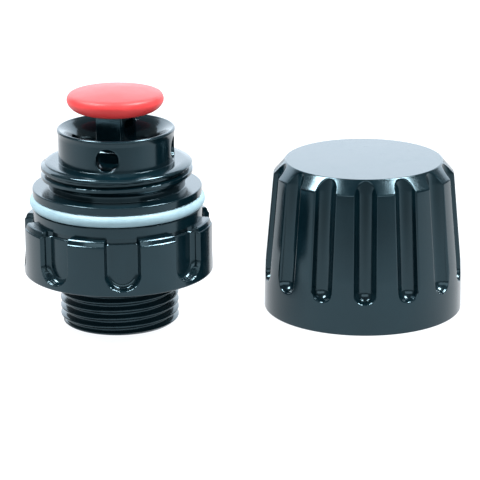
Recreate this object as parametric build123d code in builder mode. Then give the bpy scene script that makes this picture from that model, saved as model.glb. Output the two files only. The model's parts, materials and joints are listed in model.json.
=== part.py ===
from build123d import *
import os
from math import cos, radians, sin

# Automatic air vent: a screw-in float chamber with a manual vent button, and the screw-on cap that
# stands beside it. Millimetres, +Z up. The origin is on the vent's axis at the face of its inlet stem,
# which is also the height of the surface that both the vent and the cap stand on.

os.makedirs("parts", exist_ok=True)

# ---------------------------------------------------------------- driving dimensions

# Inlet stem: G1 parallel pipe thread, 33.249 mm major diameter, 11 turns per inch
STEM_R = 16.62
STEM_PITCH = 2.309
STEM_THREAD_DEPTH = 1.48
STEM_BORE_R = 12.5
TIP_CHAMFER = 0.6
STRAINER_SEAT_R = 13.3
STRAINER_SEAT_Z = 3.2

# Collar with eight grip recesses
COLLAR_Z = 14.7
COLLAR_TOP_Z = 30.2
COLLAR_R = 26.5
COLLAR_LEDGE_Z = 28.75
COLLAR_CROWN_R = 25.85
RECESS_COUNT = 8
RECESS_W = 10.0
RECESS_FOOT_Z = 16.2
RECESS_FLOOR_R = 23.7
RECESS_TURN = 5.3

# Float chamber inside the base
CHAMBER_FLOOR_Z = 17.0
CHAMBER_R = 18.7
SEAL_LEDGE_Z = 19.2
SOCKET_R = 21.05

# Bonnet: band, seal groove, flange, neck, cap thread and cup
BAND_R = 23.6
GROOVE_LOW_Z = 33.3
GROOVE_HIGH_Z = 36.85
GROOVE_FLOOR_R = 20.95
FLANGE_TOP_Z = 39.05
NECK_R = 19.0
NECK_TOP_Z = 41.0
CAP_THREAD_R = 21.1
CAP_THREAD_PITCH = 2.55
CAP_THREAD_DEPTH = 1.3
CAP_THREAD_LOW_Z = 42.0
CAP_THREAD_TOP_Z = 46.0
DECK_Z = 46.4
DECK_R = 19.4
SPIGOT_R = 21.0
SPIGOT_FOOT_Z = 21.2
SPIGOT_BORE_R = 18.6
CAVITY_R = 16.8
CEILING_Z = 43.0
CUP_R = 16.1
LIP_R = 16.35
LIP_Z = 55.6
BOWL_FLOOR_Z = 46.5
BOWL_FLOOR_R = 10.2
DRAIN_HOLE_R = 3.15
DRAIN_HOLE_Z = 50.0
DRAIN_HOLE_TURN = -6.3
GUIDE_TOP_Z = 49.5
GUIDE_WALL = 1.1

# Vent button and its square stem
STEM_SIDE = 8.4
STEM_TURN = 18.2 + 45.0
STEM_FOOT_Z = 46.6
STEM_TOP_Z = 62.8
SLIDE_GAP = 0.08
SPINDLE_R = 2.2
BUTTON_R = 13.4
BUTTON_FOOT_Z = 59.9
BUTTON_TOP_Z = 66.5
BUTTON_TRAVEL = 2.5
PLATE_R = 5.0
PLATE_LOW_Z = 40.6
PLATE_HIGH_Z = 41.9

# Float and lever
FLOAT_R = 17.5
FLOAT_PLUG_R = 10.5
FLOAT_FOOT_Z = 4.5
FLOAT_STEP_Z = 18.2
FLOAT_JOIN_Z = 27.4
FLOAT_TOP_Z = 29.4
FLOAT_WALL = 1.0
LEVER_Z = 37.4
PIVOT_X = -11.8
LINK_X = 9.0
NOZZLE_X = -7.9
ARM_IN_Y = 6.8
ARM_OUT_Y = 7.8
EAR_IN_Y = 8.6
EAR_OUT_Y = 9.4
BRACKET_LOW_Z = 34.4
BRACKET_T = 1.0
SCREW_Y = 11.8

# Cap, standing on its rim beside the vent
CAP_X = 69.2
CAP_Y = 10.5
CAP_H = 43.2
CAP_TOP_R = 22.2
CAP_SHOULDER_R = 25.55
CAP_SHOULDER_Z = 39.4
CAP_WAIST_R = 27.85
CAP_WAIST_Z = 13.5
CAP_RIM_R = 28.15
CAP_SKIRT_BORE_R = 24.25
CAP_SKIRT_DEPTH = 9.0
CAP_NUT_R = 20.3
CAP_NUT_LOW_Z = 10.4
CAP_GASKET_Z = 16.2
CAP_GASKET_T = 1.6
CAP_GASKET_R = 19.3
CAP_TOP_BORE_R = 16.8
CAP_CEILING_Z = 40.2
FLUTE_COUNT = 14
FLUTE_R = 3.1
FLUTE_FOOT_R = 28.1
FLUTE_HEAD_R = 25.8
FLUTE_FOOT_Z = 12.0
FLUTE_TURN = -1.7

FRONT = -90.0  # the front of the object faces -Y


def revolved(points):
    """Solid of revolution about Z from a closed outline of (radius, height) points."""
    with BuildPart() as turned:
        with BuildSketch(Plane.XZ):
            with BuildLine():
                Polyline(*points, close=True)
            make_face()
        revolve(axis=Axis.Z)
    return turned.part


def ring(mean_r, wire_r, z):
    """Round-section ring lying flat about the Z axis."""
    with BuildPart() as torus:
        with BuildSketch(Plane.XZ):
            with Locations((mean_r, z)):
                Circle(wire_r)
        revolve(axis=Axis.Z)
    return torus.part


def thread_tool(path_r, pitch, height, z_start, inner, outer):
    """Helical cutting tool of trapezoidal section.

    inner and outer are (radial offset from the path, full width) at the two ends of the section.
    """
    with BuildPart() as tool:
        with BuildLine() as path:
            Helix(pitch=pitch, height=height, radius=path_r, center=(0, 0, z_start))
        with BuildSketch(Plane(origin=path.line @ 0, x_dir=(1, 0, 0), z_dir=path.line % 0)):
            with BuildLine():
                Polyline(
                    (inner[0], -inner[1] / 2),
                    (outer[0], -outer[1] / 2),
                    (outer[0], outer[1] / 2),
                    (inner[0], inner[1] / 2),
                    close=True,
                )
            make_face()
        sweep(path=path.line, is_frenet=True)
    return tool.part


def finish(part, name):
    """Label a finished piece and write it as its own STEP file."""
    part.label = name
    export_step(part, f"parts/{name}.step")


# ---------------------------------------------------------------- base body

# The thread groove starts below the tip and runs out behind the stem, under a plain shank.
STEM_GROOVE_Z = -2.5
STEM_GROOVE_TURNS = 6.25
stem_groove = thread_tool(
    STEM_R - STEM_THREAD_DEPTH,
    STEM_PITCH,
    STEM_GROOVE_TURNS * STEM_PITCH,
    STEM_GROOVE_Z,
    (0.0, 0.3),
    (1.9, 2.1),
)

with BuildPart() as recess_tool:
    with BuildSketch(Plane.XZ):
        with Locations((0, RECESS_FOOT_Z + RECESS_W / 2)):
            Circle(RECESS_W / 2)
            Rectangle(RECESS_W, COLLAR_TOP_Z, align=(Align.CENTER, Align.MIN))
    extrude(amount=COLLAR_R + 5)
    Cylinder(RECESS_FLOOR_R, 200, mode=Mode.SUBTRACT)
    floor_edges = recess_tool.edges().filter_by(
        lambda e: abs(Vector(e.center().X, e.center().Y).length - RECESS_FLOOR_R) < 0.6
    )
    fillet(floor_edges.filter_by(lambda e: e.center().Z < COLLAR_TOP_Z + 10), 0.9)

REST_RIB_COUNT = 4
with BuildPart() as base_body:
    add(
        revolved(
            [
                (STRAINER_SEAT_R, 0),
                (STEM_R - TIP_CHAMFER, 0),
                (STEM_R, TIP_CHAMFER),
                (STEM_R, COLLAR_Z),
                (COLLAR_R - 0.3, COLLAR_Z),
                (COLLAR_R, COLLAR_Z + 0.3),
                (COLLAR_R, COLLAR_LEDGE_Z - 0.25),
                (COLLAR_R - 0.3, COLLAR_LEDGE_Z),
                (COLLAR_R - 0.38, COLLAR_LEDGE_Z + 0.25),
                (COLLAR_CROWN_R, COLLAR_TOP_Z - 0.35),
                (COLLAR_CROWN_R - 0.4, COLLAR_TOP_Z),
                (SOCKET_R, COLLAR_TOP_Z),
                (SOCKET_R, SEAL_LEDGE_Z),
                (CHAMBER_R, SEAL_LEDGE_Z),
                (CHAMBER_R, CHAMBER_FLOOR_Z),
                (STEM_BORE_R, CHAMBER_FLOOR_Z),
                (STEM_BORE_R, STRAINER_SEAT_Z),
                (STRAINER_SEAT_R, STRAINER_SEAT_Z),
            ]
        )
    )
    add(stem_groove, mode=Mode.SUBTRACT)
    with PolarLocations(0, RECESS_COUNT, start_angle=RECESS_TURN):
        add(recess_tool.part, mode=Mode.SUBTRACT)
    # short ribs that the dry float rests over
    with PolarLocations(15.6, REST_RIB_COUNT, start_angle=45):
        with Locations((0, 0, CHAMBER_FLOOR_Z)):
            Box(5.0, 1.6, 1.1, align=(Align.CENTER, Align.CENTER, Align.MIN))
finish(base_body.part, "base_body")

# ---------------------------------------------------------------- inlet strainer

STRAINER_T = 1.2
with BuildPart() as inlet_strainer:
    with BuildSketch(Plane.XY.offset(STRAINER_SEAT_Z - STRAINER_T)):
        Circle(STRAINER_SEAT_R - 0.1)
        with HexLocations(1.85, 7, 7):
            Circle(1.05, mode=Mode.SUBTRACT)
    extrude(amount=STRAINER_T)
finish(inlet_strainer.part, "inlet_strainer")

with BuildPart() as strainer_ring:
    with BuildSketch(Plane.XY.offset(0.9)):
        Circle(STRAINER_SEAT_R - 0.03)
        Circle(STRAINER_SEAT_R - 1.6, mode=Mode.SUBTRACT)
        with Locations((0, STRAINER_SEAT_R)):
            Rectangle(2.5, 6, mode=Mode.SUBTRACT)
    extrude(amount=STRAINER_SEAT_Z - STRAINER_T - 0.9)
finish(strainer_ring.part, "strainer_ring")

# ---------------------------------------------------------------- seals

HOUSING_WIRE_R = 0.95
housing_seal = ring(SOCKET_R - HOUSING_WIRE_R - 0.1, HOUSING_WIRE_R, SEAL_LEDGE_Z + 1.0)
finish(housing_seal, "housing_seal_ring")

CAP_SEAL_WIRE_R = 1.72
cap_seal = ring(22.7, CAP_SEAL_WIRE_R, (GROOVE_LOW_Z + GROOVE_HIGH_Z) / 2)
finish(cap_seal, "cap_seal_ring")

# ---------------------------------------------------------------- bonnet

# The groove starts in the open space around the neck and runs out above the deck. The seam of the
# turned surfaces lies at the back, away from the groove's start.
CAP_GROOVE_START_TURN = 30.0
CAP_GROOVE_Z = 39.9
CAP_GROOVE_TURNS = 2.8
BONNET_SEAM_TURN = 135.0
cap_thread_groove = thread_tool(
    CAP_THREAD_R - CAP_THREAD_DEPTH,
    CAP_THREAD_PITCH,
    CAP_GROOVE_TURNS * CAP_THREAD_PITCH,
    CAP_GROOVE_Z,
    (0.0, 0.75),
    (1.7, 1.65),
)

with BuildPart() as bonnet:
    with BuildSketch(Plane.XZ.rotated((0, 0, BONNET_SEAM_TURN))):
        with BuildLine():
            bowl = ThreePointArc((BOWL_FLOOR_R, BOWL_FLOOR_Z), (11.7, 51.6), (14.5, 55.0))
            lip = ThreePointArc(bowl @ 1, (15.5, LIP_Z), (LIP_R, 54.9))
            Polyline(
                lip @ 1,
                (LIP_R, 54.3),
                (CUP_R, 53.9),
                (CUP_R, DECK_Z),
                (DECK_R, DECK_Z),
                (CAP_THREAD_R, CAP_THREAD_TOP_Z),
                (CAP_THREAD_R, CAP_THREAD_LOW_Z),
                (NECK_R, NECK_TOP_Z),
                (NECK_R, FLANGE_TOP_Z),
                (BAND_R - 0.3, FLANGE_TOP_Z),
                (BAND_R, FLANGE_TOP_Z - 0.3),
                (BAND_R, GROOVE_HIGH_Z),
                (GROOVE_FLOOR_R, GROOVE_HIGH_Z),
                (GROOVE_FLOOR_R, GROOVE_LOW_Z),
                (BAND_R, GROOVE_LOW_Z),
                (BAND_R, COLLAR_TOP_Z),
                (SPIGOT_R, COLLAR_TOP_Z),
                (SPIGOT_R, SPIGOT_FOOT_Z),
                (SPIGOT_BORE_R, SPIGOT_FOOT_Z),
                (SPIGOT_BORE_R, 34.2),
                (CAVITY_R, 36.2),
                (CAVITY_R, CEILING_Z),
                (0, CEILING_Z),
                (0, BOWL_FLOOR_Z),
                bowl @ 0,
            )
        make_face()
    revolve(axis=Axis.Z)
    add(cap_thread_groove, rotation=(0, 0, CAP_GROOVE_START_TURN), mode=Mode.SUBTRACT)
    # square guide for the button stem
    with BuildSketch(Plane.XY.offset(CEILING_Z + 0.5)):
        Rectangle(
            STEM_SIDE + 2 * GUIDE_WALL + 2 * SLIDE_GAP,
            STEM_SIDE + 2 * GUIDE_WALL + 2 * SLIDE_GAP,
            rotation=FRONT + STEM_TURN,
        )
    extrude(amount=GUIDE_TOP_Z - CEILING_Z - 0.5)
    with BuildSketch(Plane.XY.offset(CEILING_Z + 1.0)):
        Rectangle(STEM_SIDE + 2 * SLIDE_GAP, STEM_SIDE + 2 * SLIDE_GAP, rotation=FRONT + STEM_TURN)
    extrude(amount=GUIDE_TOP_Z, mode=Mode.SUBTRACT)
    with Locations((0, 0, CEILING_Z)):
        Cylinder(SPINDLE_R + 0.8, 4, mode=Mode.SUBTRACT)
    # seat for the nozzle and its seal, and pilot holes for the bracket screws
    with Locations((NOZZLE_X, 0, CEILING_Z)):
        Cylinder(1.32, 20, mode=Mode.SUBTRACT)
        Cylinder(2.2, 1.7, mode=Mode.SUBTRACT)
    with Locations((0, SCREW_Y, CEILING_Z), (0, -SCREW_Y, CEILING_Z)):
        Cylinder(1.02, 5.6, mode=Mode.SUBTRACT)
    # four radial drain holes through the cup wall
    for k in range(4):
        turn = radians(FRONT + DRAIN_HOLE_TURN + 90 * k)
        drain = Plane(origin=(10.2 * cos(turn), 10.2 * sin(turn), DRAIN_HOLE_Z), z_dir=(cos(turn), sin(turn), 0))
        with BuildSketch(drain):
            Circle(DRAIN_HOLE_R)
        extrude(amount=8, mode=Mode.SUBTRACT)
finish(bonnet.part, "bonnet")

# ---------------------------------------------------------------- nozzle

with BuildPart() as nozzle_seat:
    with BuildSketch(Plane.XZ):
        with BuildLine():
            Polyline(
                (0.5, 40.45),
                (0.95, 40.45),
                (1.3, 41.3),
                (1.3, 41.8),
                (2.3, 41.8),
                (2.3, CEILING_Z),
                (1.3, CEILING_Z),
                (1.3, 47.5),
                (0.5, 47.5),
                close=True,
            )
        make_face()
    revolve(axis=Axis.Z)
finish(nozzle_seat.part.moved(Location((NOZZLE_X, 0, 0))), "nozzle_seat")
finish(ring(1.76, 0.4, CEILING_Z + 0.43).moved(Location((NOZZLE_X, 0, 0))), "nozzle_seal_ring")

# ---------------------------------------------------------------- vent button and stem

with BuildPart() as vent_button:
    with BuildSketch(Plane.XZ):
        with BuildLine():
            dome = ThreePointArc((0, BUTTON_TOP_Z), (6.6, 66.15), (12.3, 65.3))
            rim = Spline(
                dome @ 1,
                (13.15, 64.6),
                (BUTTON_R, 63.6),
                (12.9, 62.2),
                (11.4, 60.85),
                (7.5, BUTTON_FOOT_Z),
            )
            Polyline(rim @ 1, (0, BUTTON_FOOT_Z), (0, BUTTON_TOP_Z))
        make_face()
    revolve(axis=Axis.Z)
    with BuildSketch(Plane.XY.offset(BUTTON_FOOT_Z - 0.5)):
        Rectangle(STEM_SIDE + 0.04, STEM_SIDE + 0.04, rotation=FRONT + STEM_TURN)
    extrude(amount=STEM_TOP_Z - BUTTON_FOOT_Z + 0.6, mode=Mode.SUBTRACT)
finish(vent_button.part, "vent_button")

PORT_Z = 57.1
PORT_W = 5.0
PORT_H = 2.3
AIRWAY_R = 0.9
AIRWAY_OFFSET = 2.9
with BuildPart() as button_stem:
    with BuildSketch(Plane.XY.offset(STEM_FOOT_Z)):
        RectangleRounded(STEM_SIDE, STEM_SIDE, 0.35, rotation=FRONT + STEM_TURN)
    extrude(amount=STEM_TOP_Z - STEM_FOOT_Z)
    with Locations((0, 0, PLATE_LOW_Z)):
        Cylinder(SPINDLE_R, STEM_FOOT_Z - PLATE_LOW_Z, align=(Align.CENTER, Align.CENTER, Align.MIN))
    # breathing port under the button, through one pair of faces, fed by four small airways
    turn = radians(FRONT + STEM_TURN)
    with BuildSketch(
        Plane(origin=(0, 0, PORT_Z), z_dir=(cos(turn), sin(turn), 0), x_dir=(-sin(turn), cos(turn), 0))
    ):
        SlotOverall(PORT_W, PORT_H)
    extrude(amount=STEM_SIDE, both=True, mode=Mode.SUBTRACT)
    airway_plane = Plane.XY.offset(STEM_FOOT_Z).rotated((0, 0, FRONT + STEM_TURN))
    with BuildSketch(airway_plane):
        with GridLocations(2 * AIRWAY_OFFSET, 2 * AIRWAY_OFFSET, 2, 2):
            Circle(AIRWAY_R)
    extrude(amount=PORT_Z - STEM_FOOT_Z, mode=Mode.SUBTRACT)
    # pilot hole for the plate screw
    with Locations((0, 0, PLATE_LOW_Z)):
        Cylinder(1.02, 8, mode=Mode.SUBTRACT)
finish(button_stem.part, "button_stem")

valve_plate = revolved(
    [
        (SPINDLE_R + 0.02, PLATE_LOW_Z),
        (PLATE_R, PLATE_LOW_Z),
        (PLATE_R, PLATE_HIGH_Z),
        (SPINDLE_R + 0.02, PLATE_HIGH_Z),
    ]
)
finish(valve_plate, "valve_plate")

plate_seal = revolved(
    [
        (SPINDLE_R + 0.02, PLATE_HIGH_Z),
        (PLATE_R - 0.2, PLATE_HIGH_Z),
        (PLATE_R - 0.2, CEILING_Z - 0.1),
        (SPINDLE_R + 0.02, CEILING_Z - 0.1),
    ]
)
finish(plate_seal, "plate_seal")

plate_screw = revolved(
    [
        (0, PLATE_LOW_Z - 1.0),
        (2.4, PLATE_LOW_Z - 1.0),
        (2.7, PLATE_LOW_Z - 0.6),
        (2.7, PLATE_LOW_Z),
        (1.0, PLATE_LOW_Z),
        (1.0, PLATE_LOW_Z + 3.6),
        (0, PLATE_LOW_Z + 3.6),
    ]
)
finish(plate_screw, "plate_screw")

SPRING_R = 3.6
SPRING_WIRE_R = 0.22
SPRING_TURNS = 4.25
spring_low = BRACKET_LOW_Z + BRACKET_T + SPRING_WIRE_R + 0.02
spring_high = PLATE_LOW_Z - SPRING_WIRE_R - 0.02
with BuildPart() as button_spring:
    with BuildLine() as coil:
        Helix(
            pitch=(spring_high - spring_low) / SPRING_TURNS,
            height=spring_high - spring_low,
            radius=SPRING_R,
            center=(0, 0, spring_low),
        )
    with BuildSketch(Plane(origin=coil.line @ 0, z_dir=coil.line % 0)):
        Circle(SPRING_WIRE_R)
    sweep(path=coil.line, is_frenet=True)
finish(button_spring.part, "button_spring")

# ---------------------------------------------------------------- lever mechanism

with BuildPart() as lever_bracket:
    # U-shaped strap: floor, two sides and two outward feet against the ceiling
    with BuildSketch(Plane.YZ.offset(-4)):
        with BuildLine():
            Polyline(
                (-EAR_OUT_Y, BRACKET_LOW_Z),
                (EAR_OUT_Y, BRACKET_LOW_Z),
                (EAR_OUT_Y, CEILING_Z - BRACKET_T),
                (SCREW_Y + 2.2, CEILING_Z - BRACKET_T),
                (SCREW_Y + 2.2, CEILING_Z),
                (EAR_IN_Y, CEILING_Z),
                (EAR_IN_Y, BRACKET_LOW_Z + BRACKET_T),
                (-EAR_IN_Y, BRACKET_LOW_Z + BRACKET_T),
                (-EAR_IN_Y, CEILING_Z),
                (-SCREW_Y - 2.2, CEILING_Z),
                (-SCREW_Y - 2.2, CEILING_Z - BRACKET_T),
                (-EAR_OUT_Y, CEILING_Z - BRACKET_T),
                close=True,
            )
        make_face()
    extrude(amount=8)
    # arms reaching back to the pivot
    with BuildSketch(Plane.XZ) as ear:
        with BuildLine():
            Polyline((-4, 35.8), (-4, 41.0), (PIVOT_X, 39.0), (PIVOT_X, 35.8), close=True)
        make_face()
        with Locations((PIVOT_X, LEVER_Z)):
            Circle(1.6)
            Circle(0.8, mode=Mode.SUBTRACT)
    extrude(amount=EAR_OUT_Y, both=True)
    with Locations((-8, 0, 38)):
        Box(14, 2 * EAR_IN_Y, 8, mode=Mode.SUBTRACT)
    # the strap's floor, cut by the clearing above, is put back
    with Locations((0, 0, BRACKET_LOW_Z)):
        Box(8, 2 * EAR_IN_Y, BRACKET_T, align=(Align.CENTER, Align.CENTER, Align.MIN))
    with Locations((0, SCREW_Y, CEILING_Z), (0, -SCREW_Y, CEILING_Z)):
        Cylinder(1.1, 4, mode=Mode.SUBTRACT)
finish(lever_bracket.part, "lever_bracket")

with BuildPart() as bracket_screws:
    with Locations((0, SCREW_Y, CEILING_Z - BRACKET_T), (0, -SCREW_Y, CEILING_Z - BRACKET_T)):
        Cylinder(1.9, 1.3, align=(Align.CENTER, Align.CENTER, Align.MAX))
        Cylinder(1.0, 3.6, align=(Align.CENTER, Align.CENTER, Align.MIN))
    with Locations((0, SCREW_Y, CEILING_Z - BRACKET_T - 1.3), (0, -SCREW_Y, CEILING_Z - BRACKET_T - 1.3)):
        Box(2.6, 0.5, 1.0, mode=Mode.SUBTRACT)
finish(bracket_screws.part, "bracket_screws")

with BuildPart() as lever_fork:
    with BuildSketch(Plane.XZ):
        with Locations(((PIVOT_X + LINK_X) / 2, LEVER_Z)):
            SlotCenterToCenter(LINK_X - PIVOT_X, 2.4)
    extrude(amount=ARM_OUT_Y, both=True)
    with Locations(((PIVOT_X + LINK_X) / 2, 0, LEVER_Z)):
        Box(30, 2 * ARM_IN_Y, 4, mode=Mode.SUBTRACT)
    # cross bar that carries the pad, tied into both arms
    with Locations((NOZZLE_X, 0, LEVER_Z)):
        Box(3.0, 2 * ARM_IN_Y, 1.6)
    with Locations((PIVOT_X, 0, LEVER_Z)):
        Cylinder(0.8, 40, rotation=(90, 0, 0), mode=Mode.SUBTRACT)
    with Locations((LINK_X, 0, LEVER_Z)):
        Cylinder(0.62, 40, rotation=(90, 0, 0), mode=Mode.SUBTRACT)
finish(lever_fork.part, "lever_fork")

PAD_R = 1.4
with BuildPart() as valve_pad:
    with Locations((NOZZLE_X, 0, LEVER_Z + 0.8)):
        Cylinder(PAD_R, 1.2, align=(Align.CENTER, Align.CENTER, Align.MIN))
    fillet(valve_pad.faces().sort_by(Axis.Z)[-1].edges(), 0.2)
finish(valve_pad.part, "valve_pad")

with BuildPart() as link_pin:
    with Locations((LINK_X, 0, LEVER_Z)):
        Cylinder(0.6, 2 * ARM_OUT_Y + 0.8, rotation=(90, 0, 0))
finish(link_pin.part, "link_pin")

PIN_END_Y = EAR_OUT_Y + 0.7
with BuildPart() as pivot_pin:
    with Locations((PIVOT_X, 0, LEVER_Z)):
        Cylinder(0.75, 2 * PIN_END_Y, rotation=(90, 0, 0))
    with Locations((PIVOT_X, -PIN_END_Y + 0.3, LEVER_Z)):
        Cylinder(1.1, 0.6, rotation=(90, 0, 0))
finish(pivot_pin.part, "pivot_pin")

with BuildPart() as pivot_clip:
    with BuildSketch(Plane.XZ.offset(-EAR_OUT_Y - 0.5)):
        with Locations((PIVOT_X, LEVER_Z)):
            Circle(1.2)
            Circle(0.77, mode=Mode.SUBTRACT)
        with Locations((PIVOT_X, LEVER_Z - 1.0)):
            Rectangle(0.8, 1.2, mode=Mode.SUBTRACT)
    extrude(amount=0.4)
finish(pivot_clip.part, "pivot_clip")

# ---------------------------------------------------------------- float

with BuildPart() as float_shell:
    add(
        revolved(
            [
                (0, FLOAT_FOOT_Z),
                (FLOAT_PLUG_R - 1.0, FLOAT_FOOT_Z),
                (FLOAT_PLUG_R, FLOAT_FOOT_Z + 1.0),
                (FLOAT_PLUG_R, FLOAT_STEP_Z),
                (FLOAT_R, FLOAT_STEP_Z),
                (FLOAT_R, FLOAT_JOIN_Z),
                (FLOAT_R - FLOAT_WALL, FLOAT_JOIN_Z),
                (FLOAT_R - FLOAT_WALL, FLOAT_STEP_Z + FLOAT_WALL),
                (FLOAT_PLUG_R - FLOAT_WALL, FLOAT_STEP_Z + FLOAT_WALL),
                (FLOAT_PLUG_R - FLOAT_WALL, FLOAT_FOOT_Z + 1.4),
                (FLOAT_PLUG_R - FLOAT_WALL - 0.6, FLOAT_FOOT_Z + FLOAT_WALL),
                (0, FLOAT_FOOT_Z + FLOAT_WALL),
            ]
        )
    )
    # three guide ribs that run along the chamber wall
    with PolarLocations(FLOAT_R + 0.3, 3, start_angle=90):
        with Locations((0, 0, FLOAT_STEP_Z + 1.0)):
            Box(1.0, 1.6, 7.4, align=(Align.CENTER, Align.CENTER, Align.MIN))
finish(float_shell.part, "float_shell")

float_lid = revolved(
    [
        (0, FLOAT_TOP_Z),
        (FLOAT_R - 0.5, FLOAT_TOP_Z),
        (FLOAT_R, FLOAT_TOP_Z - 0.5),
        (FLOAT_R, FLOAT_JOIN_Z),
        (FLOAT_R - FLOAT_WALL - 0.05, FLOAT_JOIN_Z),
        (FLOAT_R - FLOAT_WALL - 0.05, FLOAT_JOIN_Z - 1.4),
        (FLOAT_R - 2 * FLOAT_WALL, FLOAT_JOIN_Z - 1.4),
        (FLOAT_R - 2 * FLOAT_WALL, FLOAT_TOP_Z - FLOAT_WALL),
        (0, FLOAT_TOP_Z - FLOAT_WALL),
    ]
)
finish(float_lid, "float_lid")

with BuildPart() as float_yoke:
    with Locations((LINK_X, 0, FLOAT_TOP_Z)):
        Box(5.6, 5.6, 0.8, align=(Align.CENTER, Align.CENTER, Align.MIN))
    with Locations((LINK_X, 0, FLOAT_TOP_Z)):
        Box(3.8, 2.0, LEVER_Z + 1.2 - FLOAT_TOP_Z, align=(Align.CENTER, Align.CENTER, Align.MIN))
    # slot that lets the link pin slide as the lever swings
    with BuildSketch(Plane.XZ):
        with Locations((LINK_X - 0.2, LEVER_Z)):
            SlotOverall(2.1, 1.36)
    extrude(amount=4, both=True, mode=Mode.SUBTRACT)
finish(float_yoke.part, "float_yoke")

# ---------------------------------------------------------------- cap

with BuildPart() as flute_tool:
    foot = Vector(FLUTE_FOOT_R, 0, FLUTE_FOOT_Z)
    head = Vector(FLUTE_HEAD_R, 0, CAP_SHOULDER_Z)
    with BuildSketch(Plane(origin=foot, z_dir=head - foot)):
        Circle(FLUTE_R)
    extrude(amount=CAP_H)
    with Locations(foot):
        Sphere(FLUTE_R)

nut_groove = thread_tool(CAP_NUT_R, CAP_THREAD_PITCH, 2.2 * CAP_THREAD_PITCH, 9.6, (-0.4, 2.15), (1.2, 1.5))

with BuildPart() as cap:
    with BuildSketch(Plane.XZ):
        with BuildLine():
            Polyline(
                (0, CAP_H),
                (CAP_TOP_R - 0.35, CAP_H),
                (CAP_TOP_R, CAP_H - 0.25),
                (CAP_SHOULDER_R - 0.15, CAP_SHOULDER_Z + 0.3),
                (CAP_SHOULDER_R + 0.03, CAP_SHOULDER_Z - 0.3),
                (CAP_WAIST_R, CAP_WAIST_Z),
                (CAP_RIM_R, 0.5),
                (CAP_RIM_R - 0.4, 0),
                (CAP_SKIRT_BORE_R + 0.45, 0),
                (CAP_SKIRT_BORE_R, 0.6),
                (CAP_SKIRT_BORE_R, CAP_SKIRT_DEPTH),
                (CAP_NUT_R, CAP_NUT_LOW_Z),
                (CAP_NUT_R, CAP_GASKET_Z),
                (CAP_GASKET_R + 0.05, CAP_GASKET_Z),
                (CAP_GASKET_R + 0.05, CAP_GASKET_Z + CAP_GASKET_T + 0.02),
                (CAP_TOP_BORE_R, CAP_GASKET_Z + CAP_GASKET_T + 0.02),
                (CAP_TOP_BORE_R, CAP_CEILING_Z - 0.8),
                (CAP_TOP_BORE_R - 0.8, CAP_CEILING_Z),
                (0, CAP_CEILING_Z),
                close=True,
            )
        make_face()
    revolve(axis=Axis.Z)
    add(nut_groove, mode=Mode.SUBTRACT)
    with PolarLocations(0, FLUTE_COUNT, start_angle=FRONT + FLUTE_TURN):
        add(flute_tool.part, mode=Mode.SUBTRACT)
CAP_PLACE = Location((CAP_X, CAP_Y, 0))
finish(cap.part.moved(CAP_PLACE), "cap")

cap_gasket = revolved(
    [
        (CAP_TOP_BORE_R + 0.1, CAP_GASKET_Z),
        (CAP_GASKET_R, CAP_GASKET_Z),
        (CAP_GASKET_R, CAP_GASKET_Z + CAP_GASKET_T),
        (CAP_TOP_BORE_R + 0.1, CAP_GASKET_Z + CAP_GASKET_T),
    ]
)
finish(cap_gasket.moved(CAP_PLACE), "cap_gasket")
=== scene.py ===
import json
import math

import bmesh
import bpy
import numpy as np
from mathutils import Matrix, Vector


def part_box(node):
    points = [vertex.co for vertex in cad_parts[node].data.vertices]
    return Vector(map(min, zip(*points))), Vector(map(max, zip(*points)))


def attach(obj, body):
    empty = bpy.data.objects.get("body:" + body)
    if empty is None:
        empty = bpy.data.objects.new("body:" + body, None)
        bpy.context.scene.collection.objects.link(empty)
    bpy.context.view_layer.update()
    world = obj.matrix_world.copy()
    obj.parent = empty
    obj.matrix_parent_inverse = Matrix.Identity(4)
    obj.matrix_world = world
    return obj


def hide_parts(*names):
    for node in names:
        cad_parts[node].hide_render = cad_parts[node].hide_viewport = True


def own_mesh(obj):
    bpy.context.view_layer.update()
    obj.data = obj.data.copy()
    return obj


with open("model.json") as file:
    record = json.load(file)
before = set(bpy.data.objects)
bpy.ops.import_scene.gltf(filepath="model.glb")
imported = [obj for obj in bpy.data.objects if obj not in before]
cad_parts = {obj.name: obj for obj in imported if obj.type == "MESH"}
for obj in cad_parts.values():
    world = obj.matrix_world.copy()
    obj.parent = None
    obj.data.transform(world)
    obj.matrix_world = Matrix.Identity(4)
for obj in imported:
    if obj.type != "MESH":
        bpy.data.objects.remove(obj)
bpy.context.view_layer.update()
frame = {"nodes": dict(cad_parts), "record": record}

# Looks of an automatic air vent and its loose cap. The object's lengths are in millimetres and are turned
# into metres where a mesh is made. Camera, lights, floor and bump heights are in metres, and noise scales
# are per metre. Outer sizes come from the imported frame's boxes where a node gives them.

MM = 0.001
FRONT = math.radians(-90)  # the front faces -Y


def low(node):
    """Lowest corner of a CAD node, in millimetres."""
    return np.array(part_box(node)[0]) / MM


def high(node):
    """Highest corner of a CAD node, in millimetres."""
    return np.array(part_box(node)[1]) / MM


# ---------------------------------------------------------------- sizes, read from the frame or named

# threaded inlet stem
STEM_R = 16.62
STEM_PITCH = 2.309
STEM_BORE_R = 12.5
STEM_MIDDLE_R = 14.0  # inside the wall, between its inner and outer faces
MOUTH_R, MOUTH_DEPTH = 13.3, 3.2
RUNOUT_START_Z, RUNOUT_END_Z = 10.6, 12.6

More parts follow.
